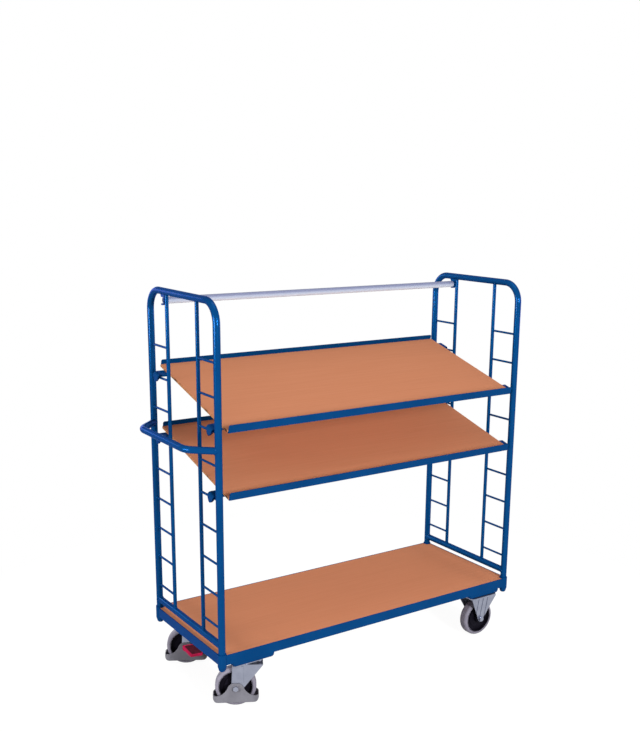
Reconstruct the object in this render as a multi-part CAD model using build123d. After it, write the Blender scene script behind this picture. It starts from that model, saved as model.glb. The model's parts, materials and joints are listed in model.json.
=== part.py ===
from build123d import *
import math
import os

# Shelf trolley: two ladder end frames plugged into a wheeled base, with two hook-on shelves hung at a tilt,
# a push bow at one end and a tie bar at the top. Millimetres, Z up, floor at Z = 0, push bow at -X,
# low edges of the shelves at -Y.

# End frames: a bent tube hoop with two inner uprights and a ladder of rungs on each side,
# with heights counted from the top of the base board
upright_spacing_x = 1432.0
upright_spacing_y = 542.0
tube_d = 27.0
tube_wall = 2.0
hoop_height = 1317.0
hoop_bend_r = 78.0
inner_d = 15.0
inner_wall = 1.5
inner_inset = 147.0
rung_d = 9.0
rung_pitch = 125.0
rung_count = 9
lowest_rung_height = 103.0
cross_d = 27.0
cross_wall = 2.0
cross_height = 35.5
weld_gap = 0.1

# Base: T bars laid on their sides round a board, with a socket at each corner,
# the board's top counted from the face that the casters bolt to
deck_height = 64.0
deck_t = 18.0
deck_gap = 0.5
rail_height = 40.0
rail_wall = 4.0
rail_ledge = 30.0
rail_offset = 12.0
socket_d = 34.0
socket_clearance = 0.1
socket_top_offset = 4.0
socket_seat_offset = 37.0
socket_bottom_offset = 66.5
socket_toe_d = 22.0
socket_toe_height = 21.0
socket_round_r = 9.0
notch_gap = 1.0

# Pressed pans that carry the casters
pan_wall = 3.0
pan_round_r = 14.0
pan_edge_r = 10.0
pan_setback = 4.0
swivel_pan_near_x = -82.0
swivel_pan_far_x = 102.0
fixed_pan_near_x = -85.0
fixed_pan_far_x = 85.0

# Push bow and tie bar
bow_height = 788.5
bow_depth = 90.0
bow_slant = 84.0
bow_bend_r = 64.0
tie_bar_d = 27.0
tie_bar_wall = 1.5
tie_bar_offset = 34.5
saddle_wall = 4.5
saddle_width = 14.0
saddle_clearance = 0.3
saddle_mouth_deg = 120.0

# Shelves, flat sizes before they are hung at a tilt
shelf_end_gap = 29.0
shelf_depth = 572.0
board_t = 9.0
board_gap = 0.4
lip_height = 31.0
lip_flange = 28.0
lip_t = 3.0
lip_end_gap = 3.0
lip_corner_r = 6.0
bearer_width = 40.0
bearer_t = 3.0
hook_span = 456.0
hook_width = 40.0
hook_t = 8.0
hook_root = 43.0
hook_reach_gap = 3.5
hook_bend_r = 4.0
hook_drop = 26.0
hook_tip_r = 12.0
hook_seat_gap = 0.3
hook_to_upright = 9.5
hook_clearance = 2.0
upper_front_rung = 6
lower_front_rung = 4

# Wheels
wheel_d = 160.0
wheel_width = 42.0
tyre_t = 13.0
tyre_round_r = 11.0
rim_width = 36.0
rim_band = 6.0
rim_web = 14.0
rim_step_d = 88.0
rim_step_width = 22.0
hub_d = 40.0
hub_width = 60.0
sleeve_d = 20.0
axle_d = 12.0
running_gap = 0.05
side_play = 0.5

# Casters
mount_height = 35.0
swivel_inset_x = 127.0
swivel_inset_y = 56.0
fixed_inset_x = 113.0
fixed_inset_y = 48.5
swivel_angle = -29.5
trail = 35.0
fork_wall = 3.0
fork_end_r = 17.0
fork_heel_r = 10.0
fork_heel_x = 22.0
fork_heel_z = 6.0
plate_t = 6.0
plate_length = 120.0
plate_width = 95.0
plate_round_r = 14.0
race_d = 64.0
race_bore_d = 48.0
race_t = 10.5
kingpin_d = 14.0
kingpin_head_d = 26.0
kingpin_head_t = 7.0
crown_gap = 0.3
crown_t = 4.0
crown_rear_x = -47.0
crown_front_x = 71.0
rib_proud = 2.0
rib_width = 43.0
fixed_top_half = 69.0
fixed_end_r = 13.0
fixed_leg_top_y = 53.0
fixed_leg_bend_height = 8.0
fixed_plate_length = 142.0
fixed_plate_width = 112.0
fixed_rib_width = 12.0
fixed_rib_spacing = 26.0

# Foot guards and brake pedals of the swivel casters
guard_wall = 3.0
guard_half = 89.0
guard_bottom_z = 22.0
guard_end_z = 45.0
guard_skirt_z = 51.0
guard_corner_r = 23.0
guard_toe_r = 14.0
guard_floor_half = 64.0
ear_top_z = 101.0
ear_top_half = 14.0
ear_shoulder_z = 86.0
ear_shoulder_half = 30.0
ear_waist_z = 66.0
ear_waist_half = 42.0
ear_foot_half = 64.0
ear_recess_d = 33.0
ear_recess_t = 1.0
pedal_hub_d = 24.0
pedal_hub_t = 5.5
pedal_t = 9.0
pedal_gap = 0.3
pedal_stud_length = 4.5
pedal_start_x = -17.0
pedal_start_y = 9.0
pedal_start_z = 14.0
pedal_root_width = 53.0
pedal_rise_z = 8.0
pedal_skew_x = 39.0
pedal_out_y = 18.0
pedal_drop_z = 36.0
pedal_round_r = 4.0

# Bolts
bolt_d = 10.0
bolt_hole_d = 11.0
bolt_head_af = 17.0
bolt_head_t = 6.4
bolt_nut_t = 8.0
bolt_spacing_x = 90.0
swivel_bolt_spacing_y = 70.0
fixed_bolt_spacing_y = 52.0
axle_head_af = 19.0
axle_head_t = 6.5

# Places worked out from the sizes above
tube_r = tube_d / 2
inner_r = inner_d / 2
rung_r = rung_d / 2
socket_r = socket_d / 2
left_x = -upright_spacing_x / 2 + (bow_depth + tube_r - socket_r) / 2
right_x = left_x + upright_spacing_x
middle_x = (left_x + right_x) / 2
front_y = -upright_spacing_y / 2
rear_y = upright_spacing_y / 2
end_frames = {"left": left_x, "right": right_x}
wheel_r = wheel_d / 2
caster_height = wheel_d + mount_height
plate_bottom_z = caster_height - plate_t
deck_top_z = caster_height + deck_height
hoop_top_z = deck_top_z + hoop_height
lowest_rung_z = deck_top_z + lowest_rung_height
cross_z = deck_top_z + cross_height
bow_z = deck_top_z + bow_height
tie_bar_z = hoop_top_z - tie_bar_offset
socket_top_z = deck_top_z + socket_top_offset
socket_seat_z = deck_top_z - socket_seat_offset
socket_bottom_z = deck_top_z - socket_bottom_offset
rail_bottom_z = deck_top_z - rail_height
ledge_top_z = deck_top_z - deck_t
ledge_bottom_z = ledge_top_z - rail_wall
swivel_x = left_x + swivel_inset_x
fixed_x = right_x - fixed_inset_x
leg_inner_y = hub_width / 2 + side_play
leg_outer_y = leg_inner_y + fork_wall
guard_outer_y = leg_outer_y + guard_wall
ear_seat_y = guard_outer_y - ear_recess_t

os.makedirs("parts", exist_ok=True)


def save(node, *shapes):
    """Write the solids of one node to its own file."""
    solids = [solid for shape in shapes for solid in shape.solids()]
    export_step(solids[0] if len(solids) == 1 else Compound(solids), f"parts/{node}.step")


def bar(start, end, diameter):
    """A straight round bar between two points."""
    run = Vector(end) - Vector(start)
    return Solid.make_cylinder(diameter / 2, run.length, Plane(start, z_dir=run))


def pipe(start, end, diameter, wall):
    """A straight tube between two points."""
    return bar(start, end, diameter) - bar(start, end, diameter - 2 * wall)


def post(x, y, diameter):
    """An upright cylinder through the whole height, for cutting round an upright."""
    return bar((x, y, 0), (x, y, hoop_top_z), diameter)


def prism(outline, plane, depth):
    """A face drawn on a plane, extruded to both sides of it by half the depth."""
    return extrude(plane * outline, depth / 2, both=True)


def bolt_pattern(spacing_x, spacing_y):
    """The four corners of a bolt pattern."""
    return [(sx * spacing_x / 2, sy * spacing_y / 2) for sx in (-1, 1) for sy in (-1, 1)]


# Base


def rail(length, ledge_length):
    """A T bar laid on its side along X: the outer face at Y = 0, the ledge reaching inward along +Y."""
    flange = Box(length, rail_wall, rail_height, align=(Align.CENTER, Align.MIN, Align.MIN))
    ledge = Box(ledge_length, rail_ledge, rail_wall, align=(Align.CENTER, Align.MIN, Align.MIN))
    return flange + Pos(0, rail_wall, ledge_bottom_z - rail_bottom_z) * ledge


def socket(x, y):
    """A corner socket: a short tube, tapered and closed at the bottom, that an upright plugs into."""
    shoulder_z = socket_bottom_z + socket_toe_height
    toe = Solid.make_cone(socket_toe_d / 2, socket_r, socket_toe_height, Plane((x, y, socket_bottom_z)))
    toe = fillet(toe.edges().group_by(Axis.Z)[0], socket_round_r)
    body = toe + bar((x, y, shoulder_z), (x, y, socket_top_z), socket_d)
    return body - bar((x, y, socket_seat_z), (x, y, socket_top_z), tube_d + 2 * socket_clearance)


def pan(x, y, near_x, far_x, half_y, bolt_spacing_y):
    """An open pressed pan under the ledge, rounded all round below, with holes for the caster's bolts."""
    depth = ledge_bottom_z - caster_height
    half_length = (far_x - near_x) / 2

    def outline(inset):
        """The end view of the pan, open to the top."""
        width = 2 * (half_length - inset)
        height = 2 * (depth - inset)
        lower = RectangleRounded(width, height, pan_round_r - inset)
        return lower & Pos(0, -height / 2) * Rectangle(width, height)

    top = Plane((x + (near_x + far_x) / 2, y, ledge_bottom_z), x_dir=(1, 0, 0), z_dir=(0, -1, 0))

    def block(inset):
        """The pan as a solid block, its long lower edges rounded."""
        solid = prism(outline(inset), top, 2 * (half_y - inset))
        sides = solid.faces().filter_by(Axis.Y)
        edges = [edge for side in sides for edge in side.edges() if edge.center().Z < ledge_bottom_z - inset]
        return fillet(edges, pan_edge_r - inset)

    shell = block(0) - block(pan_wall)
    for dx, dy in bolt_pattern(bolt_spacing_x, bolt_spacing_y):
        shell -= bar((x + dx, y + dy, caster_height), (x + dx, y + dy, caster_height + pan_wall), bolt_hole_d)
    return shell


corners = [(x, y) for x in (left_x, right_x) for y in (front_y, rear_y)]
caster_places = {
    "left_front": (swivel_x, front_y + swivel_inset_y),
    "left_rear": (swivel_x, rear_y - swivel_inset_y),
    "right_front": (fixed_x, front_y + fixed_inset_y),
    "right_rear": (fixed_x, rear_y - fixed_inset_y),
}

side_ledge = upright_spacing_y - 2 * (rail_wall + rail_ledge - rail_offset)
long_rail = rail(upright_spacing_x, upright_spacing_x)
side_rail = rail(upright_spacing_y, side_ledge)
rails = {
    "base_front_rail": Pos(middle_x, front_y - rail_offset, rail_bottom_z) * long_rail,
    "base_rear_rail": Pos(middle_x, rear_y + rail_offset, rail_bottom_z) * Rot(0, 0, 180) * long_rail,
    "base_left_rail": Pos(left_x - rail_offset, 0, rail_bottom_z) * Rot(0, 0, -90) * side_rail,
    "base_right_rail": Pos(right_x + rail_offset, 0, rail_bottom_z) * Rot(0, 0, 90) * side_rail,
}
for node, shape in rails.items():
    for x, y in corners:
        shape -= post(x, y, socket_d + 2 * weld_gap)
    save(node, shape)

deck_inset = rail_offset - rail_wall - deck_gap
deck_length = upright_spacing_x + 2 * deck_inset
deck_width = upright_spacing_y + 2 * deck_inset
deck = Pos(middle_x, 0, ledge_top_z) * Box(
    deck_length, deck_width, deck_t, align=(Align.CENTER, Align.CENTER, Align.MIN)
)
for x, y in corners:
    deck -= post(x, y, socket_d + 2 * notch_gap)
save("deck_board", deck)
save("corner_sockets", *[socket(x, y) for x, y in corners])

pans = []
for name, (x, y) in caster_places.items():
    half_y = rear_y - abs(y) + rail_offset - rail_wall - pan_setback
    if name.startswith("left"):
        pans.append(pan(x, y, swivel_pan_near_x, swivel_pan_far_x, half_y, swivel_bolt_spacing_y))
    else:
        pans.append(pan(x, y, fixed_pan_near_x, fixed_pan_far_x, half_y, fixed_bolt_spacing_y))
save("caster_pans", *pans)


# End frames


def hoop(x):
    """The bent tube of one end frame, its feet standing on the socket seats."""
    path = FilletPolyline(
        (x, front_y, socket_seat_z),
        (x, front_y, hoop_top_z),
        (x, rear_y, hoop_top_z),
        (x, rear_y, socket_seat_z),
        radius=hoop_bend_r,
    )
    section = Plane((x, front_y, socket_seat_z)) * (Circle(tube_r) - Circle(tube_r - tube_wall))
    return sweep(section, path=path)


for side, x in end_frames.items():
    top_tube = bar((x, front_y, hoop_top_z), (x, rear_y, hoop_top_z), tube_d + 2 * weld_gap)
    cross_cut = bar((x, front_y, cross_z), (x, rear_y, cross_z), cross_d + 2 * weld_gap)
    cross = pipe((x, front_y, cross_z), (x, rear_y, cross_z), cross_d, cross_wall)
    inner_uprights = []
    rungs = []
    for end_y, inward in ((front_y, 1), (rear_y, -1)):
        inner_y = end_y + inward * inner_inset
        upright_cut = post(x, end_y, tube_d + 2 * weld_gap)
        inner_cut = post(x, inner_y, inner_d + 2 * weld_gap)
        cross -= upright_cut
        inner = pipe((x, inner_y, cross_z), (x, inner_y, hoop_top_z), inner_d, inner_wall)
        inner_uprights.append(inner - top_tube - cross_cut)
        rung = bar((x, end_y, lowest_rung_z), (x, inner_y, lowest_rung_z), rung_d) - upright_cut - inner_cut
        rungs += [Pos(0, 0, step * rung_pitch) * rung for step in range(rung_count)]
    save(f"{side}_hoop", hoop(x))
    save(f"{side}_cross_tube", cross)
    save(f"{side}_inner_uprights", *inner_uprights)
    save(f"{side}_rungs", *rungs)


# Push bow

bow_path = FilletPolyline(
    (left_x, front_y, bow_z),
    (left_x - bow_depth, front_y + bow_slant, bow_z),
    (left_x - bow_depth, rear_y - bow_slant, bow_z),
    (left_x, rear_y, bow_z),
    radius=bow_bend_r,
)
bow_section = Plane(bow_path @ 0, z_dir=bow_path % 0) * (Circle(tube_r) - Circle(tube_r - tube_wall))
bow = sweep(bow_section, path=bow_path)
for y in (front_y, rear_y):
    bow -= post(left_x, y, tube_d + 2 * weld_gap)
save("push_bow", bow)


# Tie bar, lying in two open saddles behind the rear inner uprights

saddle_bore_r = tie_bar_d / 2 + saddle_clearance
saddle_r = saddle_bore_r + saddle_wall
tie_bar_y = rear_y - inner_inset + inner_r + weld_gap + saddle_r
tie_bar_ends = [(x, tie_bar_y, tie_bar_z) for x in (left_x, right_x)]
save("tie_bar", pipe(*tie_bar_ends, tie_bar_d, tie_bar_wall))

mouth = saddle_mouth_deg / 2
saddle_outline = Circle(saddle_r) + Pos(0, tie_bar_offset / 2) * Rectangle(2 * saddle_r, tie_bar_offset)
mouth_far = 2 * saddle_r
mouth_wedge = Polygon(
    (0, 0),
    (mouth_far, mouth_far * math.tan(math.radians(mouth))),
    (mouth_far, -mouth_far * math.tan(math.radians(mouth))),
    align=None,
)
saddle_outline = saddle_outline - Circle(saddle_bore_r) - mouth_wedge
saddles = []
for x in end_frames.values():
    saddle_plane = Plane((x, tie_bar_y, tie_bar_z), x_dir=(0, 1, 0), z_dir=(1, 0, 0))
    saddle = prism(saddle_outline, saddle_plane, saddle_width)
    saddles.append(saddle - bar((x, front_y, hoop_top_z), (x, rear_y, hoop_top_z), tube_d + 2 * weld_gap))
save("tie_bar_saddles", *saddles)


# Shelves, modelled flat with the middle of the board's top face at the origin

shelf_length = upright_spacing_x - 2 * shelf_end_gap
tilt = math.degrees(math.asin(rung_pitch / hook_span))
hook_bottom = -board_t - hook_t


def lip(front):
    """An angle along one long edge of a shelf, its flange notched where it would meet the hooks."""
    sign = -1 if front else 1
    lip_length = shelf_length - 2 * lip_end_gap
    wall = Pos(0, sign * (shelf_depth - lip_t) / 2, -board_t - lip_t + lip_height / 2) * Box(
        lip_length, lip_t, lip_height
    )
    wall = fillet(wall.edges().filter_by(Axis.Y).group_by(Axis.Z)[-1], lip_corner_r)
    flange = Pos(0, sign * (shelf_depth - lip_flange) / 2, -board_t - lip_t / 2) * Box(
        lip_length, lip_flange, lip_t
    )
    notch_length = hook_root + hook_clearance
    notch = Box(notch_length, hook_width + 2 * hook_clearance, lip_t)
    for end in (-1, 1):
        notch_x = end * (shelf_length - notch_length) / 2
        flange -= Pos(notch_x, sign * hook_span / 2, -board_t - lip_t / 2) * notch
    return wall + flange


def hook(end_sign, span_sign):
    """A flat strap that comes out from under the board, passes over a rung and turns down outside it."""
    inner_e = shelf_end_gap + hook_root
    tongue_e = -rung_r - hook_reach_gap
    tip = hook_bottom - hook_drop
    bend_e = tongue_e + hook_bend_r
    bend_z = hook_bottom - hook_bend_r
    outer_e = tongue_e - hook_t
    strap_line = [
        Line((inner_e, -board_t), (bend_e, -board_t)),
        RadiusArc((bend_e, -board_t), (outer_e, bend_z), -(hook_t + hook_bend_r)),
        Polyline((outer_e, bend_z), (outer_e, tip), (tongue_e, tip), (tongue_e, bend_z)),
        RadiusArc((tongue_e, bend_z), (bend_e, hook_bottom), hook_bend_r),
        Polyline((bend_e, hook_bottom), (inner_e, hook_bottom), (inner_e, -board_t)),
    ]
    strap = prism(make_face(strap_line), Plane.XZ, hook_width)
    face_view = make_hull(
        (
            Pos(0, hook_bottom) * Rectangle(hook_width, 2 * hook_t)
            + Pos(0, tip + hook_tip_r) * Circle(hook_tip_r)
        ).edges()
    )
    strap &= prism(face_view, Plane.YZ, 2 * (inner_e + hook_width))
    frame_x = end_sign * upright_spacing_x / 2
    turn = 0 if end_sign < 0 else 180
    return Pos(frame_x, span_sign * hook_span / 2, 0) * Rot(0, 0, turn) * strap


def shelf(name, front_rung):
    """One shelf, hung with its front hooks on the given rung and its rear hooks on the next one up."""
    board = Pos(0, 0, -board_t / 2) * Box(shelf_length, shelf_depth - 2 * (lip_t + board_gap), board_t)
    bearer = Box(bearer_width, shelf_depth - 2 * lip_flange, bearer_t)
    bearer_x = (shelf_length - bearer_width) / 2 - hook_root
    bearers = [Pos(sign * bearer_x, 0, -board_t - bearer_t / 2) * bearer for sign in (-1, 1)]
    hooks = [hook(end, span) for end in (-1, 1) for span in (-1, 1)]
    seat_z = lowest_rung_z + front_rung * rung_pitch + rung_r + hook_seat_gap
    seat_y = front_y + tube_r + hook_to_upright
    seat = Vector(0, -(hook_span + hook_width) / 2, hook_bottom).rotate(Axis.X, tilt)
    place = Pos(middle_x, seat_y - seat.Y, seat_z - seat.Z) * Rot(tilt, 0, 0)
    save(f"{name}_shelf_board", place * board)
    save(f"{name}_shelf_front_lip", place * lip(True))
    save(f"{name}_shelf_rear_lip", place * lip(False))
    save(f"{name}_shelf_bearers", *[place * bearer for bearer in bearers])
    save(f"{name}_shelf_hooks", *[place * each for each in hooks])


shelf("upper", upper_front_rung)
shelf("lower", lower_front_rung)


# Wheels, modelled with the axle along Y and the middle of the wheel at the origin


def turned(outline):
    """A profile drawn with its radius along X and its width along Y, turned about the axle."""
    return revolve(make_face(outline), Axis.Y)


def tyre():
    """The tyre: a solid ring with rounded shoulders."""
    ring = Solid.make_cylinder(wheel_r, wheel_width, Plane((0, -wheel_width / 2, 0), z_dir=(0, 1, 0)))
    ring = fillet(ring.edges(), tyre_round_r)
    return ring - bar((0, -wheel_width, 0), (0, wheel_width, 0), wheel_d - 2 * tyre_t)


def rim():
    """The wheel centre: a band under the tyre, a stepped web and a long hub, bored for the sleeve."""
    band_r = wheel_r - tyre_t - weld_gap
    band_inner_r = band_r - rim_band
    hub_r = hub_d / 2
    step_r = rim_step_d / 2
    bore_r = sleeve_d / 2 + weld_gap
    half = [
        (bore_r, hub_width / 2),
        (hub_r, hub_width / 2),
        (hub_r + side_play, rim_step_width / 2),
        (step_r, rim_step_width / 2),
        (step_r + side_play, rim_web / 2),
        (band_inner_r, rim_web / 2),
        (band_inner_r + side_play, rim_width / 2),
        (band_r, rim_width / 2),
    ]
    other_half = [(radius, -width) for radius, width in reversed(half)]
    return turned(Polyline(*half, *other_half, close=True))


def sleeve():
    """The bearing sleeve in the hub, which turns on the axle."""
    half = hub_width / 2
    return bar((0, -half, 0), (0, half, 0), sleeve_d) - bar(
        (0, -half, 0), (0, half, 0), axle_d + 2 * running_gap
    )


def hexagon(across_flats):
    """A hexagon given by its width across flats."""
    return RegularPolygon(across_flats / 2, 6, major_radius=False)


def axle(head_y, nut_y, stud_length):
    """A bolt along Y with its head at one side and its nut at the other, given the faces that they clamp."""
    along = 1 if nut_y > head_y else -1
    shank = bar((0, head_y, 0), (0, nut_y + along * (axle_head_t + stud_length), 0), axle_d)
    head = extrude(Plane((0, head_y, 0), z_dir=(0, -along, 0)) * hexagon(axle_head_af), axle_head_t)
    nut = extrude(Plane((0, nut_y, 0), z_dir=(0, along, 0)) * hexagon(axle_head_af), axle_head_t)
    return shank + head + nut


def save_wheel(name, place):
    """Write the three pieces that turn together."""
    save(f"{name}_tyre", place * tyre())
    save(f"{name}_rim", place * rim())
    save(f"{name}_hub_sleeve", place * sleeve())


def leg_view(ends, top_left, top_right, top_z):
    """The side view of a fork leg: the round ends given, widening to the top edge."""
    top = Pos((top_left + top_right) / 2, top_z - fork_wall / 2) * Rectangle(top_right - top_left, fork_wall)
    edges = top.edges()
    for end in ends:
        edges += end.edges()
    return make_hull(edges)


axle_hole_d = axle_d + 2 * weld_gap


# Swivel casters, modelled with the swivel axis at the origin and rolling along X


def top_plate():
    """The bolted plate of a swivel caster."""
    plate = extrude(
        Plane((0, 0, plate_bottom_z)) * RectangleRounded(plate_length, plate_width, plate_round_r), plate_t
    )
    for dx, dy in bolt_pattern(bolt_spacing_x, swivel_bolt_spacing_y):
        plate -= bar((dx, dy, plate_bottom_z), (dx, dy, caster_height), bolt_hole_d)
    return plate - bar((0, 0, plate_bottom_z), (0, 0, caster_height), kingpin_d + 2 * weld_gap)


race_bottom_z = plate_bottom_z - race_t
crown_top_z = race_bottom_z - crown_gap
crown_bottom_z = crown_top_z - crown_t
pin_head_z = crown_bottom_z - crown_gap


def race():
    """The ring of the swivel bearing under the plate."""
    return pipe((0, 0, race_bottom_z), (0, 0, plate_bottom_z), race_d, (race_d - race_bore_d) / 2)


def kingpin():
    """The pin that holds the fork's crown up against the bearing."""
    shank = bar((0, 0, pin_head_z), (0, 0, caster_height), kingpin_d)
    head = bar((0, 0, pin_head_z - kingpin_head_t), (0, 0, pin_head_z), kingpin_head_d)
    return shank + fillet(head.edges().group_by(Axis.Z)[0], kingpin_head_t / 2)


def swivel_fork():
    """A pressed fork: a crown round the kingpin and two legs slanting back to the axle, each with a rib."""
    end = Pos(-trail, wheel_r) * Circle(fork_end_r)
    heel = Pos(fork_heel_x - trail, wheel_r + fork_heel_z) * Circle(fork_heel_r)
    view = leg_view([end, heel], crown_rear_x, crown_front_x, crown_top_z)
    fork = prism(view, Plane.XZ, 2 * leg_outer_y)
    fork -= Pos(0, 0, crown_bottom_z / 2) * Box(4 * crown_front_x, 2 * leg_inner_y, crown_bottom_z)
    rib_bottom_z = ear_top_z + guard_wall
    rib_height = crown_bottom_z - rib_bottom_z
    rib = Box(rib_width, rib_proud, rib_height, align=(Align.MIN, Align.MIN, Align.MIN))
    rib = chamfer(rib.faces().sort_by(Axis.Y)[-1].edges(), rib_proud / 2)
    for side in (-1, 1):
        placed = Pos(crown_rear_x, leg_outer_y, rib_bottom_z) * rib
        fork += placed if side > 0 else mirror(placed, about=Plane.XZ)
    fork -= bar((-trail, -wheel_r, wheel_r), (-trail, wheel_r, wheel_r), axle_hole_d)
    return fork - bar((0, 0, crown_bottom_z), (0, 0, crown_top_z), kingpin_d + 2 * running_gap)


def guard_view():
    """The side view of a foot guard: a skirt with rounded toes and an ear that rises to the axle."""
    toe_x = guard_half - guard_toe_r
    toe_z = guard_bottom_z + guard_toe_r
    view_line = [
        Line((-toe_x, guard_bottom_z), (toe_x, guard_bottom_z)),
        Line((-ear_top_half, ear_top_z), (ear_top_half, ear_top_z)),
    ]
    for side in (-1, 1):
        shoulder = (side * ear_shoulder_half, ear_shoulder_z)
        foot = (side * ear_foot_half, guard_skirt_z)
        end = (side * guard_half, guard_end_z)
        toe_end = (side * guard_half, toe_z)
        ear_top = (side * ear_top_half, ear_top_z)
        view_line.append(RadiusArc(ear_top, shoulder, side * (ear_top_z - ear_shoulder_z) * 2))
        view_line.append(ThreePointArc(shoulder, (side * ear_waist_half, ear_waist_z), foot))
        view_line.append(Polyline(foot, end, toe_end))
        view_line.append(RadiusArc((side * toe_x, guard_bottom_z), toe_end, side * -guard_toe_r))
    return make_face(view_line)


def guard():
    """A moulded foot guard: a wall round the lower wheel, closed below at its ends, with two ears."""
    plan_length = 2 * guard_half
    plan_width = 2 * guard_outer_y
    inner_length = plan_length - 2 * guard_wall
    inner_width = plan_width - 2 * guard_wall
    outside = extrude(RectangleRounded(plan_length, plan_width, guard_corner_r), wheel_d)
    inside = extrude(RectangleRounded(inner_length, inner_width, guard_corner_r - guard_wall), wheel_d)
    wall = prism(guard_view(), Plane.XZ, plan_width) & (outside - inside)
    sole = guard_view() - Pos(0, guard_wall) * guard_view()
    sole -= Rectangle(2 * guard_floor_half, 2 * wheel_d)
    wall += prism(sole, Plane.XZ, plan_width) & outside
    wall -= bar((0, -wheel_r, wheel_r), (0, wheel_r, wheel_r), axle_hole_d)
    for side in (-1, 1):
        wall -= bar((0, side * ear_seat_y, wheel_r), (0, side * wheel_r, wheel_r), ear_recess_d)
    return Pos(-trail, 0, 0) * wall


def pedal():
    """A brake pedal for the +Y side: a hub on the axle's stud and a thick blade slanting out and down."""
    near_y = guard_outer_y + pedal_gap
    hub_y = ear_seat_y + axle_head_t + pedal_gap
    hub = bar((0, hub_y, wheel_r), (0, hub_y + pedal_hub_t, wheel_r), pedal_hub_d)
    start = Vector(pedal_start_x, near_y + pedal_start_y, wheel_r + pedal_start_z)
    along = Vector(pedal_root_width, 0, pedal_rise_z)
    out = Vector(pedal_skew_x, pedal_out_y, -pedal_drop_z)
    blade_plane = Plane(start, x_dir=along, z_dir=along.cross(out))
    tip = blade_plane.to_local_coords(start + out)
    blade_view = Polygon((0, 0), (along.length, 0), (along.length + tip.X, tip.Y), (tip.X, tip.Y), align=None)
    blade = extrude(blade_plane * fillet(blade_view.vertices(), pedal_round_r), pedal_t, dir=(0, 0, -1))
    blade -= Box(4 * guard_half, 2 * near_y, 2 * wheel_d)
    nut_room_d = axle_head_af + axle_head_t
    blade -= bar((0, 0, wheel_r), (0, hub_y, wheel_r), nut_room_d)
    bore_end_y = hub_y + pedal_stud_length
    return hub + blade - bar((0, hub_y, wheel_r), (0, bore_end_y, wheel_r), axle_d + 2 * running_gap)


def swivel_caster(name, x, y, pedal_side):
    """Write one braked swivel caster, turned as it stands."""
    place = Pos(x, y, 0) * Rot(0, 0, swivel_angle)
    wheel_place = place * Pos(-trail, 0, wheel_r)
    save(f"{name}_top_plate", Pos(x, y, 0) * top_plate())
    save(f"{name}_swivel_race", Pos(x, y, 0) * race())
    save(f"{name}_kingpin", Pos(x, y, 0) * kingpin())
    save(f"{name}_fork", place * swivel_fork())
    save(f"{name}_guard", place * guard())
    bolt = axle(-pedal_side * ear_seat_y, pedal_side * ear_seat_y, pedal_stud_length)
    save(f"{name}_axle", wheel_place * bolt)
    lever = pedal() if pedal_side > 0 else mirror(pedal(), about=Plane.XZ)
    save(f"{name}_brake_pedal", place * Pos(-trail, 0, 0) * lever)
    save_wheel(name, wheel_place)


for name, (x, y) in caster_places.items():
    if name.startswith("left"):
        swivel_caster(name, x, y, 1 if y < 0 else -1)


# Fixed casters, modelled with the axle at the origin in plan and rolling along X


def leg_section(proud):
    """The end view of a fixed fork: legs upright at the hub, then leaning out to the plate."""
    bend_z = wheel_r + fixed_leg_bend_height
    half = [
        (leg_inner_y, wheel_r - fixed_end_r),
        (leg_outer_y + proud, wheel_r - fixed_end_r),
        (leg_outer_y + proud, bend_z),
        (fixed_leg_top_y + proud, plate_bottom_z),
        (fixed_leg_top_y - fork_wall, plate_bottom_z),
        (leg_inner_y, bend_z),
    ]
    return Polygon(*half, align=None) + Polygon(*[(-y, z) for y, z in half], align=None)


def fixed_fork():
    """A pressed fixed fork: its own plate and two ribbed legs that taper to the axle."""
    end = Pos(0, wheel_r) * Circle(fixed_end_r)
    view = leg_view([end], -fixed_top_half, fixed_top_half, plate_bottom_z)
    legs = prism(leg_section(0), Plane.YZ, 4 * fixed_top_half)
    for step in (-1, 0, 1):
        rib = prism(leg_section(rib_proud), Plane.YZ, fixed_rib_width)
        legs += Pos(step * fixed_rib_spacing, 0, 0) * rib
    legs &= prism(view, Plane.XZ, 4 * fixed_leg_top_y)
    plate_plan = RectangleRounded(fixed_plate_length, fixed_plate_width, plate_round_r)
    plate = extrude(Plane((0, 0, plate_bottom_z)) * plate_plan, plate_t)
    fork = legs + plate
    for dx, dy in bolt_pattern(bolt_spacing_x, fixed_bolt_spacing_y):
        fork -= bar((dx, dy, plate_bottom_z), (dx, dy, caster_height), bolt_hole_d)
    return fork - bar((0, -wheel_r, wheel_r), (0, wheel_r, wheel_r), axle_hole_d)


for name, (x, y) in caster_places.items():
    if name.startswith("right"):
        face_y = leg_outer_y + rib_proud
        save(f"{name}_fork", Pos(x, y, 0) * fixed_fork())
        save(f"{name}_axle", Pos(x, y, wheel_r) * axle(-face_y, face_y, 0))
        save_wheel(name, Pos(x, y, wheel_r))


# Caster bolts, heads under the plates and nuts inside the pans


def plate_bolt(x, y):
    """A bolt and its nut through a caster plate and a pan floor."""
    floor_z = caster_height + pan_wall
    head = extrude(Plane((x, y, plate_bottom_z - bolt_head_t)) * hexagon(bolt_head_af), bolt_head_t)
    nut = extrude(Plane((x, y, floor_z)) * hexagon(bolt_head_af), bolt_nut_t)
    return head + bar((x, y, plate_bottom_z), (x, y, floor_z), bolt_d) + nut


bolts = []
for name, (x, y) in caster_places.items():
    spacing_y = swivel_bolt_spacing_y if name.startswith("left") else fixed_bolt_spacing_y
    bolts += [plate_bolt(x + dx, y + dy) for dx, dy in bolt_pattern(bolt_spacing_x, spacing_y)]
save("caster_bolts", *bolts)
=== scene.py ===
import bmesh
import bpy
import json
import math
from mathutils import Matrix, Vector


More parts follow.
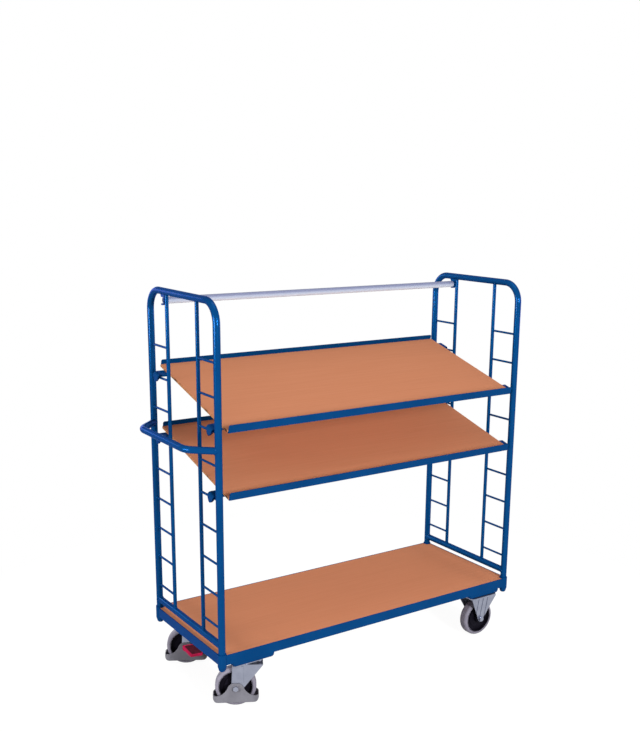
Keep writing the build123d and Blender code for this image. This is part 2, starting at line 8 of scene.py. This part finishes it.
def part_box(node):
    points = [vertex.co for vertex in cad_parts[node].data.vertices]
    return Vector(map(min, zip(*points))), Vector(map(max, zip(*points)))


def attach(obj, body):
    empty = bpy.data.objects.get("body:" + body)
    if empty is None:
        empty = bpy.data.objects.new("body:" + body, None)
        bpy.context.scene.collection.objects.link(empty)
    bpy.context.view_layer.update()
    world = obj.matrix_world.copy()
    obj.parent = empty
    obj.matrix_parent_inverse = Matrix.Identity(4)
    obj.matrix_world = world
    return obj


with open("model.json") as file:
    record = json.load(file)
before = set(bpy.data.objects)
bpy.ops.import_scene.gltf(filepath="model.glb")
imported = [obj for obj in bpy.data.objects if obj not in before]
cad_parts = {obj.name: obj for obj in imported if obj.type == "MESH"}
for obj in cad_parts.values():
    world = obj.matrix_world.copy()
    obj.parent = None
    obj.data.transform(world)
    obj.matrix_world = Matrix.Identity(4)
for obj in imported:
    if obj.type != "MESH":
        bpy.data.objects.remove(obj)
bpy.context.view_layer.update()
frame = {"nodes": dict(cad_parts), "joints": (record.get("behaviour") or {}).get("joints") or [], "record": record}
nodes = frame["nodes"]
scene = bpy.context.scene
scene.view_settings.view_transform = "Standard"

# Camera, solved from the straight edges of the photograph
IMAGE_WIDTH = 640
IMAGE_HEIGHT = 732
FOCAL_PIXELS = 1017.469
CENTRE_PIXEL = (340.512, 436.017)
CAMERA_PLACE = Vector((-2.31235, -3.3889, 1.9704))
CAMERA_YAW = math.radians(34.794)
CAMERA_PITCH = math.radians(13.845)
CAMERA_ROLL = math.radians(0.7214)
SENSOR = 36.0
CLIP_END = 60

# Tones of the finishes in sRGB bytes, the darker and then the lighter one of each pair
BLUE = ((0, 60, 113), (2, 65, 120))
BLUE_SHEEN = (30, 150, 215)
WOOD = ((194, 126, 92), (200, 132, 98))
WOOD_BAND = (198, 129, 94)
PLY = ((150, 98, 62), (184, 128, 88))
ZINC = ((137, 141, 157), (151, 155, 171))
BARE_METAL = ((196, 205, 220), (204, 212, 226))
# Painted shade for the upper side of the bare tie bar, standing in for a dark reflection
PAINTED_SHADE_METAL = (126, 131, 160)
GREY_RUBBER = ((126, 122, 136), (140, 136, 149))
# Dark red of the pedal treads: partly the rubber's own tone, partly painted shade from the deck above
SHADED_RED_RUBBER = ((78, 22, 38), (92, 29, 47))
BLACK_PLASTIC = ((15, 13, 21), (22, 20, 29))
GREY_PLASTIC = ((109, 108, 116), (119, 118, 126))
RED_PLASTIC = ((186, 12, 70), (204, 18, 80))

# Spans of a noise over which one tone turns into the other
MID_SPAN = (0.35, 0.65)
WIDE_SPAN = (0.3, 0.7)
HIGH_SPAN = (0.45, 0.7)

# Spans of a facing over which a board's face turns into its cut end and a bare tube's upper side takes a painted
# shade
END_SPAN = (0.6, 0.8)
PAINTED_SHADE_SPAN = (-0.6, 0.5)

# Places of the factor, the two colours and the result among the mix node's sockets
MIX_INPUTS = (0, 6, 7)
MIX_OUTPUT = 2

# Floor and world: reach, greys, strengths of their light, and the distances over which the shadow fades
FLOOR_REACH = 30.0
FLOOR_GREY = 0.35
FLOOR_GLOW = 0.93
FLOOR_SHADED = 0.12
SHADOW_FADE = (1.0, 1.9)
WORLD_LIGHT = 0.4

# Lamps: name, place, aim, width and height, watts
LAMPS = (
    ("front_strip", (-0.3, -5.2, 2.1), (0, 0, 0.9), (0.5, 1.8), 268),
    ("left_box", (-4.4, 0.0, 1.4), (0, 0, 0.9), (2.0, 1.2), 130),
    ("right_box", (4.4, 0.0, 1.4), (0, 0, 0.9), (2.0, 1.2), 60),
    ("top", (0.2, -0.6, 4.6), (0, 0, 0.6), (2.6, 2.0), 27),
    ("rear_wall", (-0.8, 5.0, 1.9), (0, 0, 1.2), (4.5, 2.0), 120),
)

# Weld beads: rungs in a row, slant of the push bow's legs, radii of the beads and how they swell
RUNGS = 9
BOW_SLANT = 0.084
FINE_WELD = 0.0014
WIDE_WELD = 0.0022
WELD_POINTS = 20
BEAD_SIDES = 6
BEAD_SWELL = 0.12
BEAD_WAVE = 2.1

# Mould lines on the tyres: their radius, and where they lie as shares of the wheel's radius
TYRE_WIDTH = 0.042
TYRE_LINE = 0.0006
LINE_SHARES = (0.815, 0.845)
LINE_POINTS = 72

# Treads on the pedals: their size against the pedal, their place on it and their ribs
TREAD_SHARE = 0.84
TREAD_SHIFT = 0.0035
TREAD_THICK = 0.0012
TREAD_RIBS = 5
RIB_WIDTH = 0.003
RIB_HEIGHT = 0.0012
RIB_SLOPE = 0.0005

# Flat faces of a mesh: digits in which their normals agree, and the gap that merges their points
NORMAL_DIGITS = 2
MERGE_DISTANCE = 1e-5

# Directions in the trolley's frame
TO_RIGHT = Vector((1, 0, 0))
TO_REAR = Vector((0, 1, 0))
UP = Vector((0, 0, 1))


def add_camera():
    """The camera at the photograph's viewing angle, with the small shift that its framing needs."""
    forward = Vector((
        math.sin(CAMERA_YAW) * math.cos(CAMERA_PITCH),
        math.cos(CAMERA_YAW) * math.cos(CAMERA_PITCH),
        -math.sin(CAMERA_PITCH),
    ))
    level_right = Vector((math.cos(CAMERA_YAW), -math.sin(CAMERA_YAW), 0))
    level_up = level_right.cross(forward)
    right = level_right * math.cos(CAMERA_ROLL) + level_up * math.sin(CAMERA_ROLL)
    up = level_up * math.cos(CAMERA_ROLL) - level_right * math.sin(CAMERA_ROLL)
    turn = Matrix((right, up, -forward)).transposed().to_4x4()
    data = bpy.data.cameras.new("camera")
    data.sensor_fit = "HORIZONTAL"
    data.sensor_width = SENSOR
    data.lens = SENSOR * FOCAL_PIXELS / IMAGE_WIDTH
    data.shift_x = (IMAGE_WIDTH / 2 - CENTRE_PIXEL[0]) / IMAGE_WIDTH
    data.shift_y = (CENTRE_PIXEL[1] - IMAGE_HEIGHT / 2) / IMAGE_WIDTH
    data.clip_end = CLIP_END
    camera = bpy.data.objects.new("camera", data)
    camera.matrix_world = Matrix.Translation(CAMERA_PLACE) @ turn
    scene.collection.objects.link(camera)
    scene.camera = camera


def srgb(red, green, blue):
    """A linear colour from sRGB bytes."""
    def linear(byte):
        value = byte / 255
        return value / 12.92 if value <= 0.04045 else ((value + 0.055) / 1.055) ** 2.4
    return (linear(red), linear(green), linear(blue), 1.0)


def grey(level):
    """A linear grey, white at 1."""
    return (level, level, level, 1.0)


class Nodes:
    """A short way to write a node tree: add a node, set its inputs, link what is given as a socket."""

    def __init__(self, tree):
        self.tree = tree
        tree.nodes.clear()

    def put(self, node, key, value):
        """Set or link one input, found by its name or its place."""
        socket = node.inputs[key]
        if isinstance(value, bpy.types.NodeSocket):
            self.tree.links.new(value, socket)
        else:
            socket.default_value = value

    def add(self, kind, properties=None, **inputs):
        """Add one node. Inputs are named with underscores for spaces."""
        node = self.tree.nodes.new(kind)
        for name, value in (properties or {}).items():
            setattr(node, name, value)
        for name, value in inputs.items():
            self.put(node, name.replace("_", " "), value)
        return node

    def join(self, kind, *values, **properties):
        """Add one node, fill its inputs in their order and give its first output."""
        node = self.add(kind, properties)
        for place, value in enumerate(values):
            self.put(node, place, value)
        return node.outputs[0]

    def place(self, stretch=(1, 1, 1)):
        """Object coordinates in metres, stretched."""
        coordinates = self.add("ShaderNodeTexCoord").outputs["Object"]
        return self.add("ShaderNodeMapping", Vector=coordinates, Scale=stretch).outputs[0]

    def facing(self, axis):
        """How far the surface looks along one axis of its object, from -1 to 1."""
        normal = self.add("ShaderNodeTexCoord").outputs["Normal"]
        return self.add("ShaderNodeSeparateXYZ", Vector=normal).outputs[axis]

    def noise(self, vector, scale, detail=2.0, roughness=0.5):
        """Noise from 0 to 1."""
        node = self.add("ShaderNodeTexNoise", Vector=vector, Scale=scale, Detail=detail, Roughness=roughness)
        return node.outputs["Fac"]

    def ramp(self, value, span, result=(0, 1)):
        """A value moved from one span to another and held at its ends."""
        node = self.add("ShaderNodeMapRange", Value=value, From_Min=span[0], From_Max=span[1])
        self.put(node, "To Min", result[0])
        self.put(node, "To Max", result[1])
        return node.outputs[0]

    def blend(self, factor, first, second):
        """A mix of two colours."""
        node = self.add("ShaderNodeMix", {"data_type": "RGBA"})
        for place, value in zip(MIX_INPUTS, (factor, first, second)):
            self.put(node, place, value)
        return node.outputs[MIX_OUTPUT]

    def tones(self, factor, pair):
        """A mix of two tones in sRGB bytes."""
        return self.blend(factor, srgb(*pair[0]), srgb(*pair[1]))

    def bump(self, height, strength, distance):
        """A normal from a height."""
        node = self.add("ShaderNodeBump", Height=height, Strength=strength, Distance=distance)
        return node.outputs["Normal"]


def material(name):
    """A new material with its node tree emptied."""
    result = bpy.data.materials.new(name)
    result.use_nodes = True
    return result, Nodes(result.node_tree)


def surface(kit, **inputs):
    """The shader and the output of a material."""
    shader = kit.add("ShaderNodeBsdfPrincipled", **inputs)
    kit.add("ShaderNodeOutputMaterial", Surface=shader.outputs[0])


def powder_coat():
    """Blue powder coat: a little colour drift, fine orange peel, a metal glint and a thin clear coat."""
    result, kit = material("blue_powder_coat")
    place = kit.place()
    drift = kit.ramp(kit.noise(place, scale=7, detail=3), MID_SPAN)
    peel = kit.noise(place, scale=520)
    surface(
        kit,
        Base_Color=kit.tones(drift, BLUE),
        Metallic=0.3,
        Roughness=kit.ramp(kit.noise(place, scale=40, detail=3), WIDE_SPAN, result=(0.16, 0.2)),
        Normal=kit.bump(peel, strength=0.03, distance=0.0002),
        Specular_IOR_Level=0.0,
        Specular_Tint=srgb(*BLUE_SHEEN),
        Coat_Weight=0.08,
        Coat_Roughness=0.06,
    )
    return result


def board():
    """Wood-tone board: faint grain along its length, and plies that show on its cut ends."""
    result, kit = material("board")
    grain = kit.noise(kit.place(stretch=(1.2, 48, 48)), scale=3.2, detail=6, roughness=0.6)
    bands = kit.noise(kit.place(stretch=(0.5, 9, 9)), scale=1.6, detail=3)
    wood = kit.tones(kit.ramp(grain, WIDE_SPAN), WOOD)
    face = kit.blend(kit.ramp(bands, MID_SPAN, result=(0, 0.4)), wood, srgb(*WOOD_BAND))
    layers = {"bands_direction": "Z"}
    plies = kit.add("ShaderNodeTexWave", layers, Vector=kit.place(), Scale=130, Distortion=1.5, Detail=2)
    cut = kit.tones(kit.ramp(plies.outputs["Fac"], MID_SPAN), PLY)
    end = kit.ramp(kit.join("ShaderNodeMath", kit.facing("X"), operation="ABSOLUTE"), END_SPAN)
    surface(
        kit,
        Base_Color=kit.blend(end, face, cut),
        Roughness=kit.ramp(grain, WIDE_SPAN, result=(0.46, 0.54)),
        Normal=kit.bump(grain, strength=0.05, distance=0.0003),
        Specular_IOR_Level=0.0,
        Coat_Weight=0.05,
        Coat_Roughness=0.35,
    )
    return result


def zinc_plate():
    """Zinc plate: a faint cloudy drift over a soft metal shine."""
    result, kit = material("zinc_plate")
    place = kit.place()
    cloud = kit.ramp(kit.noise(place, scale=30, detail=3), WIDE_SPAN)
    fine = kit.noise(place, scale=700)
    surface(
        kit,
        Base_Color=kit.tones(cloud, ZINC),
        Metallic=0.85,
        Roughness=kit.ramp(kit.noise(place, scale=90), WIDE_SPAN, result=(0.30, 0.38)),
        Normal=kit.bump(fine, strength=0.04, distance=0.0002),
    )
    return result


def bright_tube():
    """Drawn bare tube: pale and satin, darker on its upper side with painted shade, with faint draw marks along
    its length.
    """
    result, kit = material("bright_tube")
    marks = kit.ramp(kit.noise(kit.place(stretch=(0.6, 60, 60)), scale=4, detail=3), MID_SPAN)
    # Painted shade: the tube's upper side is mixed towards a darker tone
    painted_top_shade = kit.ramp(kit.facing("Z"), PAINTED_SHADE_SPAN)
    surface(
        kit,
        Base_Color=kit.blend(painted_top_shade, kit.tones(marks, BARE_METAL), srgb(*PAINTED_SHADE_METAL)),
        Metallic=0.1,
        Roughness=0.42,
        Normal=kit.bump(marks, strength=0.03, distance=0.0001),
        Specular_IOR_Level=0.1,
    )
    return result


def moulded(name, pair, drift, grain, relief, roughness, gloss, span=MID_SPAN):
    """A moulded material: two tones that drift into each other under a fine grain.

    The drift and the grain are each given by a noise's scale and detail, the relief by strength and height.
    """
    result, kit = material(name)
    place = kit.place()
    share = kit.ramp(kit.noise(place, *drift), span)
    surface(
        kit,
        Base_Color=kit.tones(share, pair),
        Roughness=roughness,
        Normal=kit.bump(kit.noise(place, *grain), *relief),
        Specular_IOR_Level=gloss,
    )
    return result


def grey_tyre():
    """Grey rubber with a fine grain, scuffed a little paler in spots."""
    return moulded(
        "grey_tyre", GREY_RUBBER, drift=(60, 5), grain=(900, 2), relief=(0.15, 0.0003),
        roughness=0.62, gloss=0.2, span=HIGH_SPAN,
    )


def black_rim():
    """Black plastic with a fine spark-eroded texture."""
    return moulded(
        "black_rim", BLACK_PLASTIC, drift=(30, 3), grain=(1300, 2), relief=(0.2, 0.0002),
        roughness=0.45, gloss=0.03,
    )


def grey_plastic():
    """Grey plastic, matt, with a fine texture."""
    return moulded(
        "grey_plastic", GREY_PLASTIC, drift=(22, 3), grain=(1100, 2), relief=(0.2, 0.0003),
        roughness=0.5, gloss=0.2,
    )


def red_plastic():
    """Red plastic with a soft gloss."""
    return moulded(
        "red_plastic", RED_PLASTIC, drift=(35, 3), grain=(1000, 2), relief=(0.15, 0.0002),
        roughness=0.36, gloss=0.2,
    )


def shaded_red_tread():
    """Dark red rubber of the pedal treads, matt and grainy, its darkness partly painted shade from the deck above.
    """
    return moulded(
        "shaded_red_tread", SHADED_RED_RUBBER, drift=(60, 4), grain=(900, 3), relief=(0.25, 0.0003),
        roughness=0.7, gloss=0.1,
    )


def seen_directly(kit):
    """One for rays from the camera, a mirror or a window, nought for the rays that carry light."""
    path = kit.add("ShaderNodeLightPath").outputs
    result = path["Is Camera Ray"]
    for name in ("Is Glossy Ray", "Is Transmission Ray"):
        result = kit.join("ShaderNodeMath", result, path[name], operation="MAXIMUM")
    return result


def add_floor():
    """A floor that is seen as white with a soft shadow, and passes light on as a matt grey."""
    result, kit = material("floor")
    matt = kit.add("ShaderNodeBsdfDiffuse", Color=grey(FLOOR_GREY)).outputs[0]
    white = kit.add("ShaderNodeEmission", Color=grey(1), Strength=1).outputs[0]
    glow = kit.add("ShaderNodeEmission", Color=grey(1), Strength=FLOOR_GLOW).outputs[0]
    shaded = kit.add("ShaderNodeBsdfDiffuse", Color=grey(FLOOR_SHADED)).outputs[0]
    near = kit.join("ShaderNodeAddShader", glow, shaded)
    distance = kit.add("ShaderNodeVectorMath", {"operation": "LENGTH"}, Vector=kit.place()).outputs["Value"]
    shown = kit.join("ShaderNodeMixShader", kit.ramp(distance, SHADOW_FADE), near, white)
    either = kit.join("ShaderNodeMixShader", seen_directly(kit), matt, shown)
    kit.add("ShaderNodeOutputMaterial", Surface=either)
    corners = [(x * FLOOR_REACH, y * FLOOR_REACH, 0) for x, y in ((-1, -1), (1, -1), (1, 1), (-1, 1))]
    mesh = bpy.data.meshes.new("floor")
    mesh.from_pydata(corners, [], [(0, 1, 2, 3)])
    mesh.materials.append(result)
    floor = bpy.data.objects.new("floor", mesh)
    scene.collection.objects.link(floor)


def add_world():
    """Soft even light from all round, seen as plain white by the camera and in reflections."""
    world = bpy.data.worlds.new("world")
    world.use_nodes = True
    scene.world = world
    kit = Nodes(world.node_tree)
    lit = kit.add("ShaderNodeBackground", Color=grey(1), Strength=WORLD_LIGHT).outputs[0]
    white = kit.add("ShaderNodeBackground", Color=grey(1), Strength=1).outputs[0]
    either = kit.join("ShaderNodeMixShader", seen_directly(kit), lit, white)
    kit.add("ShaderNodeOutputWorld", Surface=either)


def add_lamp(name, place, aim, size, watts):
    """A rectangular area lamp, given its width and height, aimed at a point."""
    data = bpy.data.lights.new(name, "AREA")
    data.shape = "RECTANGLE"
    data.size, data.size_y = size
    data.energy = watts
    lamp = bpy.data.objects.new(name, data)
    lamp.location = place
    lamp.rotation_euler = (Vector(aim) - Vector(place)).to_track_quat("-Z", "Y").to_euler()
    scene.collection.objects.link(lamp)


def dress_nodes():
    """Give each CAD node the finish that its slot names, and the bare tie bar one of its own."""
    for subpart in frame["record"]["subparts"]:
        mesh = nodes[subpart["node"]].data
        mesh.materials.clear()
        mesh.materials.append(materials[subpart["material_slot"]])
    nodes["tie_bar"].data.materials[0] = bright_tube()


def add_piece(name, shape, slot, body, finish=None):
    """Add a shape as a piece that rides on a body, with its slot's finish or with another."""
    bmesh.ops.recalc_face_normals(shape, faces=shape.faces)
    mesh = bpy.data.meshes.new(name)
    shape.to_mesh(mesh)
    shape.free()
    mesh.materials.append(finish or materials[slot])
    piece = bpy.data.objects.new(name, mesh)
    scene.collection.objects.link(piece)
    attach(piece, body)


def middle(node):
    """The middle of a CAD node's box."""
    low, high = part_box(node)
    return (Vector(low) + Vector(high)) / 2


def tube_radius(node):
    """The radius of round tubes that lie in the plane of an end frame, from the width of their box."""
    low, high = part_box(node)
    return (high[0] - low[0]) / 2


def joints_ending(ending):
    """Each joint with this ending to its name, after the start of that name."""
    for joint in frame["joints"]:
        if joint["name"].endswith(ending):
            yield joint["name"].removesuffix(ending), joint


def circle(centre, first, second, radius, count):
    """Points round a circle in the plane of two directions."""
    turns = [2 * math.pi * step / count for step in range(count)]
    return [centre + (first * math.cos(turn) + second * math.sin(turn)) * radius for turn in turns]


def add_sides(shape, here, after):
    """Faces all round between two rings of as many points."""
    pairs = list(zip(here, after))
    for (low, high), (next_low, next_high) in zip(pairs, pairs[1:] + pairs[:1]):
        shape.faces.new((low, next_low, next_high, high))


def bead_rings(loops, radius):
    """Closed rings of a round section that swells and thins a little, one along each loop of points."""
    shape = bmesh.new()
    for loop in loops:
        rings = []
        for index, point in enumerate(loop):
            forward = (loop[(index + 1) % len(loop)] - loop[index - 1]).normalized()
            if index == 0:
                across = forward.orthogonal()
            across = (across - forward * across.dot(forward)).normalized()
            swollen = radius * (1 + BEAD_SWELL * math.sin(index * BEAD_WAVE))
            section = circle(point, across, forward.cross(across), swollen, BEAD_SIDES)
            rings.append([shape.verts.new(spot) for spot in section])
        for here, after in zip(rings, rings[1:] + rings[:1]):
            add_sides(shape, here, after)
    for face in shape.faces:
        face.smooth = True
    return shape


def weld_loop(start, forward, branch_r, main_point, main_axis, main_r):
    """Where a round tube that runs forward from a point first meets another round tube."""
    side = forward.cross(main_axis).normalized()
    rise = forward.cross(side).normalized()
    flat_forward = forward - main_axis * forward.dot(main_axis)
    square = flat_forward.dot(flat_forward)
    loop = []
    for spot in circle(start, side, rise, branch_r, WELD_POINTS):
        origin = spot - main_point
        flat_origin = origin - main_axis * origin.dot(main_axis)
        half_slope = flat_origin.dot(flat_forward)
        excess = flat_origin.dot(flat_origin) - main_r * main_r
        root = math.sqrt(max(half_slope * half_slope - square * excess, 0))
        loop.append(spot + forward * ((-half_slope - root) / square))
    return loop


class EndFrame:
    """The sizes of one end frame, read off its nodes."""

    def __init__(self, side):
        hoop_low, hoop_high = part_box(f"{side}_hoop")
        inner_low, inner_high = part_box(f"{side}_inner_uprights")
        rung_low, rung_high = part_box(f"{side}_rungs")
        self.tube_r = tube_radius(f"{side}_hoop")
        self.inner_r = tube_radius(f"{side}_inner_uprights")
        self.rung_r = tube_radius(f"{side}_rungs")
        self.cross_r = tube_radius(f"{side}_cross_tube")
        self.x = middle(f"{side}_hoop").x
        self.top_z = hoop_high[2] - self.tube_r
        self.cross_z = middle(f"{side}_cross_tube").z
        first_z = rung_low[2] + self.rung_r
        pitch = (rung_high[2] - self.rung_r - first_z) / (RUNGS - 1)
        self.rung_heights = [first_z + rung * pitch for rung in range(RUNGS)]
        self.uprights = (
            (hoop_low[1] + self.tube_r, inner_low[1] + self.inner_r, -TO_REAR),
            (hoop_high[1] - self.tube_r, inner_high[1] - self.inner_r, TO_REAR),
        )


def ladder_welds(end):
    """The loops where the rungs and the inner uprights of an end frame meet the tubes that carry them."""
    top = Vector((end.x, 0, end.top_z))
    bottom = Vector((end.x, 0, end.cross_z))
    loops = []
    for outer_y, inner_y, outward in end.uprights:
        outer = Vector((end.x, outer_y, 0))
        inner = Vector((end.x, inner_y, 0))
        for z in end.rung_heights:
            start = Vector((end.x, (outer_y + inner_y) / 2, z))
            loops.append(weld_loop(start, outward, end.rung_r, outer, UP, end.tube_r))
            loops.append(weld_loop(start, -outward, end.rung_r, inner, UP, end.inner_r))
        start = Vector((end.x, inner_y, (end.cross_z + end.top_z) / 2))
        loops.append(weld_loop(start, UP, end.inner_r, top, TO_REAR, end.tube_r))
        loops.append(weld_loop(start, -UP, end.inner_r, bottom, TO_REAR, end.cross_r))
    return loops


def cross_welds(end):
    """The loops where the lower cross tube of an end frame meets the uprights."""
    loops = []
    for outer_y, inner_y, outward in end.uprights:
        start = Vector((end.x, (outer_y + inner_y) / 2, end.cross_z))
        outer = Vector((end.x, outer_y, 0))
        loops.append(weld_loop(start, outward, end.cross_r, outer, UP, end.tube_r))
    return loops


def bow_welds(end):
    """The loops where the slanting legs of the push bow meet the uprights of an end frame."""
    corner_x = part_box("push_bow")[0][0] + end.tube_r
    z = middle("push_bow").z
    loops = []
    for outer_y, _, outward in end.uprights:
        corner = Vector((corner_x, outer_y, z)) - outward * BOW_SLANT
        outer = Vector((end.x, outer_y, z))
        forward = (outer - corner).normalized()
        loops.append(weld_loop(corner, forward, end.tube_r, outer, UP, end.tube_r))
    return loops


def add_welds():
    """Weld beads on the frame: fine ones on the ladders, wider ones on the cross tubes and the push bow."""
    left = EndFrame("left")
    right = EndFrame("right")
    fine = ladder_welds(left) + ladder_welds(right)
    wide = cross_welds(left) + cross_welds(right) + bow_welds(left)
    add_piece("frame_weld_beads", bead_rings(fine, FINE_WELD), "blue_powder_coat", "frame")
    add_piece("cross_weld_beads", bead_rings(wide, WIDE_WELD), "blue_powder_coat", "frame")


def add_tyre_lines():
    """Raised mould lines round the sides of each tyre."""
    for name, joint in joints_ending("_wheel_spin"):
        axis = Vector(joint["axis"]).normalized()
        centre = Vector(joint["pos_m"])
        level = axis.cross(UP).normalized()
        rise = level.cross(axis)
        low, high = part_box(f"{name}_tyre")
        wheel_r = (high[2] - low[2]) / 2
        loops = []
        for side in (-1, 1):
            side_centre = centre + axis * (side * TYRE_WIDTH / 2)
            for share in LINE_SHARES:
                loops.append(circle(side_centre, level, rise, wheel_r * share, LINE_POINTS))
        add_piece(f"{name}_tyre_lines", bead_rings(loops, TYRE_LINE), "grey_tyre", f"{name}_wheel")


def rim_loops(shape):
    """The closed loops of points round the open edges of a mesh."""
    edges = [edge for edge in shape.edges if len(edge.link_faces) == 1]
    loops = []
    while edges:
        vert = edges.pop().verts[0]
        loop = [vert]
        onward = [edge for edge in vert.link_edges if edge in edges]
        while onward:
            edges.remove(onward[0])
            vert = onward[0].other_vert(vert)
            loop.append(vert)
            onward = [edge for edge in vert.link_edges if edge in edges]
        loops.append([vert.co.copy() for vert in loop])
    return loops


def top_face(node):
    """The outer rim of a CAD node's largest flat face that looks up, and its normal."""
    mesh = nodes[node].data
    groups = {}
    for polygon in mesh.polygons:
        key = tuple(round(value, NORMAL_DIGITS) for value in polygon.normal)
        if key[2] > 0:
            groups.setdefault(key, []).append(polygon)
    chosen = max(groups.values(), key=lambda group: sum(polygon.area for polygon in group))
    shape = bmesh.new()
    for polygon in chosen:
        shape.faces.new([shape.verts.new(mesh.vertices[index].co) for index in polygon.vertices])
    bmesh.ops.remove_doubles(shape, verts=shape.verts, dist=MERGE_DISTANCE)
    outline = max(rim_loops(shape), key=len)
    shape.free()
    return outline, chosen[0].normal.copy()


def width_at(outline, v):
    """Where a flat outline starts and ends along a line across it."""
    hits = []
    for (u0, v0), (u1, v1) in zip(outline, outline[1:] + outline[:1]):
        if (v0 - v) * (v1 - v) < 0:
            hits.append(u0 + (u1 - u0) * (v - v0) / (v1 - v0))
    return min(hits), max(hits)


def rib_outline(start, end, v, inset):
    """The corners of a rib that lies across a tread, drawn in on all sides."""
    half = RIB_WIDTH / 2 - inset
    left = start + inset
    right = end - inset
    return [(left, v - half), (right, v - half), (right, v + half), (left, v + half)]


def tread_shape(rim, normal):
    """A slab on a flat face, shrunk from the face's rim, with ribs across it."""
    across = (TO_RIGHT - normal * TO_RIGHT.dot(normal)).normalized()
    along = normal.cross(across)
    low = Vector([min(values) for values in zip(*rim)])
    high = Vector([max(values) for values in zip(*rim)])
    centre = (low + high) / 2
    spots = [(point - centre) * TREAD_SHARE for point in rim]
    outline = [(spot.dot(across), spot.dot(along)) for spot in spots]
    base = centre + across * TREAD_SHIFT
    shape = bmesh.new()

    def ring(points, height):
        return [shape.verts.new(base + across * u + along * v + normal * height) for u, v in points]

    def add_prism(bottom, top):
        shape.faces.new(top)
        shape.faces.new(bottom)
        add_sides(shape, bottom, top)

    add_prism(ring(outline, 0), ring(outline, TREAD_THICK))
    first_v = min(v for u, v in outline)
    pitch = (max(v for u, v in outline) - first_v) / TREAD_RIBS
    for rib in range(TREAD_RIBS):
        v = first_v + (rib + 0.5) * pitch
        start, end = width_at(outline, v)
        foot = ring(rib_outline(start, end, v, 0), TREAD_THICK)
        crest = ring(rib_outline(start, end, v, RIB_SLOPE), TREAD_THICK + RIB_HEIGHT)
        add_prism(foot, crest)
    return shape


def add_pedal_treads():
    """A ribbed rubber tread on each brake pedal, leaving the pedal's edge bare, its dark red partly painted shade
    from the deck above.
    """
    # The tread's dark red is partly painted shade from the deck above
    rubber = shaded_red_tread()
    for name, joint in joints_ending("_brake_press"):
        rim, normal = top_face(f"{name}_brake_pedal")
        add_piece(f"{name}_shaded_pedal_tread", tread_shape(rim, normal), "red_plastic", joint["child"], rubber)


materials = {
    "blue_powder_coat": powder_coat(),
    "board": board(),
    "zinc_plate": zinc_plate(),
    "grey_tyre": grey_tyre(),
    "black_rim": black_rim(),
    "grey_plastic": grey_plastic(),
    "red_plastic": red_plastic(),
}
dress_nodes()
add_welds()
add_tyre_lines()
add_pedal_treads()
add_camera()
add_world()
add_floor()
for lamp in LAMPS:
    add_lamp(*lamp)
